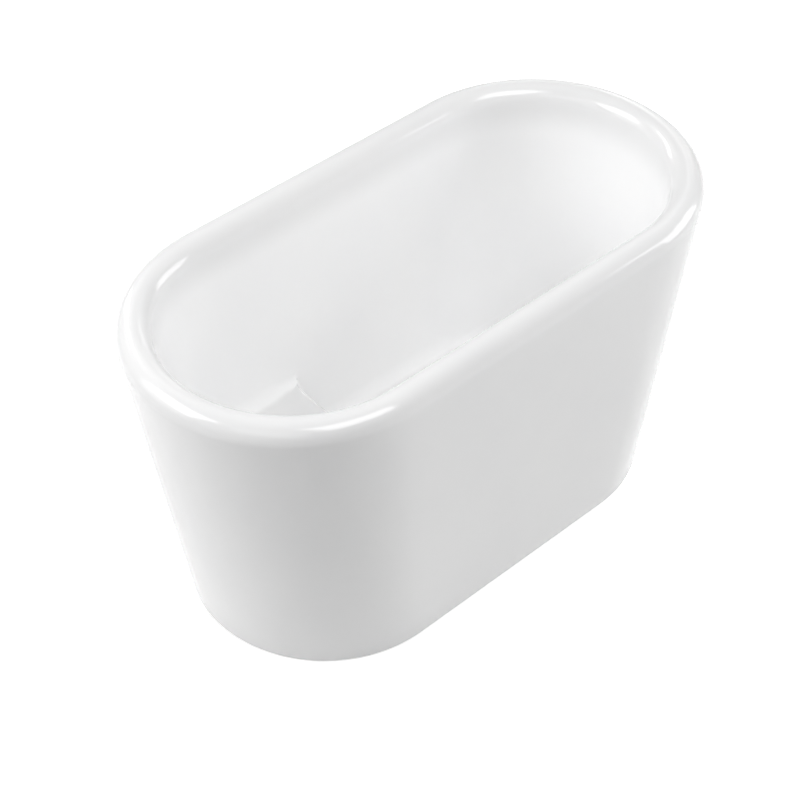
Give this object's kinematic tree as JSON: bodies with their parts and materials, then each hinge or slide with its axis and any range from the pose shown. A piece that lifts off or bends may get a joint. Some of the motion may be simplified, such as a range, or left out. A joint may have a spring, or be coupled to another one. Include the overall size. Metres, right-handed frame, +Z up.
{
  "type": "sit-in bathtub",
  "caption": "Deep freestanding double-walled bathtub with round ends, rolled rim, moulded seat, waste and overflow, and levelling feet under the skirt.",
  "frame": {"origin": "on the floor, under the middle of the rim", "axes": "+X along the tub from the seat end to the foot well end, +Z up; the overflow is on the -Y side"},
  "size_m": [1.29, 0.65, 0.7],
  "materials": {
    "acrylic": "high gloss",
    "board": "raw chipboard",
    "steel": "galvanised",
    "zinc": "zinc plated",
    "chrome": "polished",
    "grey_plastic": "moulded",
    "pad_plastic": "moulded",
    "rubber": "moulded"
  },
  "bodies": {
    "tub": {"inner_shell": "acrylic", "outer_skirt": "acrylic", "base_board": "board", "seat_board": "board", "rear_leg_channel": "steel", "front_leg_channel": "steel", "centre_leg_plate": "steel", "left_seat_post": "steel", "right_seat_post": "steel", "skirt_brackets": "steel", "board_screws": "zinc", "post_bolts": "zinc", "bracket_bolts": "zinc", "skirt_screws": "zinc", "weld_nuts": "zinc", "lock_nuts": "zinc", "waste_flange": "chrome", "waste_washer": "rubber", "waste_gasket": "rubber", "waste_body": "grey_plastic", "plug_cartridge": "chrome", "overflow_body": "grey_plastic", "overflow_gasket": "rubber", "overflow_faceplate": "chrome", "overflow_screw": "chrome", "overflow_cover": "chrome", "overflow_pipe": "grey_plastic", "pipe_nuts": "grey_plastic", "pipe_seals": "rubber"},
    "plug": {"plug_cap": "chrome", "plug_seal": "rubber", "plug_stem": "chrome"},
    "foot_1": {"foot_pad_1": "pad_plastic"},
    "stud_1": {"foot_stud_1": "zinc"},
    "foot_2": {"foot_pad_2": "pad_plastic"},
    "stud_2": {"foot_stud_2": "zinc"},
    "foot_3": {"foot_pad_3": "pad_plastic"},
    "stud_3": {"foot_stud_3": "zinc"},
    "foot_4": {"foot_pad_4": "pad_plastic"},
    "stud_4": {"foot_stud_4": "zinc"},
    "foot_5": {"foot_pad_5": "pad_plastic"},
    "stud_5": {"foot_stud_5": "zinc"}
  },
  "joints": [
    {"name": "plug_slide", "type": "slide", "parent": "tub", "child": "plug", "axis": [0, 0, 1], "range_m": [0, 0.01]},
    {"name": "foot_1_height", "type": "slide", "parent": "tub", "child": "foot_1", "axis": [0, 0, -1], "range_m": [-0.003, 0.01]},
    {"name": "foot_1_screw", "type": "hinge", "parent": "foot_1", "child": "stud_1", "pos_m": [-0.33, -0.15, 0.03], "axis": [0, 0, -1], "range_deg": [-720, 2160]},
    {"name": "foot_2_height", "type": "slide", "parent": "tub", "child": "foot_2", "axis": [0, 0, -1], "range_m": [-0.003, 0.01]},
    {"name": "foot_2_screw", "type": "hinge", "parent": "foot_2", "child": "stud_2", "pos_m": [-0.33, 0.15, 0.03], "axis": [0, 0, -1], "range_deg": [-720, 2160]},
    {"name": "foot_3_height", "type": "slide", "parent": "tub", "child": "foot_3", "axis": [0, 0, -1], "range_m": [-0.003, 0.01]},
    {"name": "foot_3_screw", "type": "hinge", "parent": "foot_3", "child": "stud_3", "pos_m": [0.33, -0.15, 0.03], "axis": [0, 0, -1], "range_deg": [-720, 2160]},
    {"name": "foot_4_height", "type": "slide", "parent": "tub", "child": "foot_4", "axis": [0, 0, -1], "range_m": [-0.003, 0.01]},
    {"name": "foot_4_screw", "type": "hinge", "parent": "foot_4", "child": "stud_4", "pos_m": [0.33, 0.15, 0.03], "axis": [0, 0, -1], "range_deg": [-720, 2160]},
    {"name": "foot_5_height", "type": "slide", "parent": "tub", "child": "foot_5", "axis": [0, 0, -1], "range_m": [-0.003, 0.01]},
    {"name": "foot_5_screw", "type": "hinge", "parent": "foot_5", "child": "stud_5", "pos_m": [-0.06, 0, 0.03], "axis": [0, 0, -1], "range_deg": [-720, 2160]}
  ],
  "couplings": [
    {"joint": "foot_1_screw", "follows": "foot_1_height", "rad_per_m": 3590.4},
    {"joint": "foot_2_screw", "follows": "foot_2_height", "rad_per_m": 3590.4},
    {"joint": "foot_3_screw", "follows": "foot_3_height", "rad_per_m": 3590.4},
    {"joint": "foot_4_screw", "follows": "foot_4_height", "rad_per_m": 3590.4},
    {"joint": "foot_5_screw", "follows": "foot_5_height", "rad_per_m": 3590.4}
  ]
}
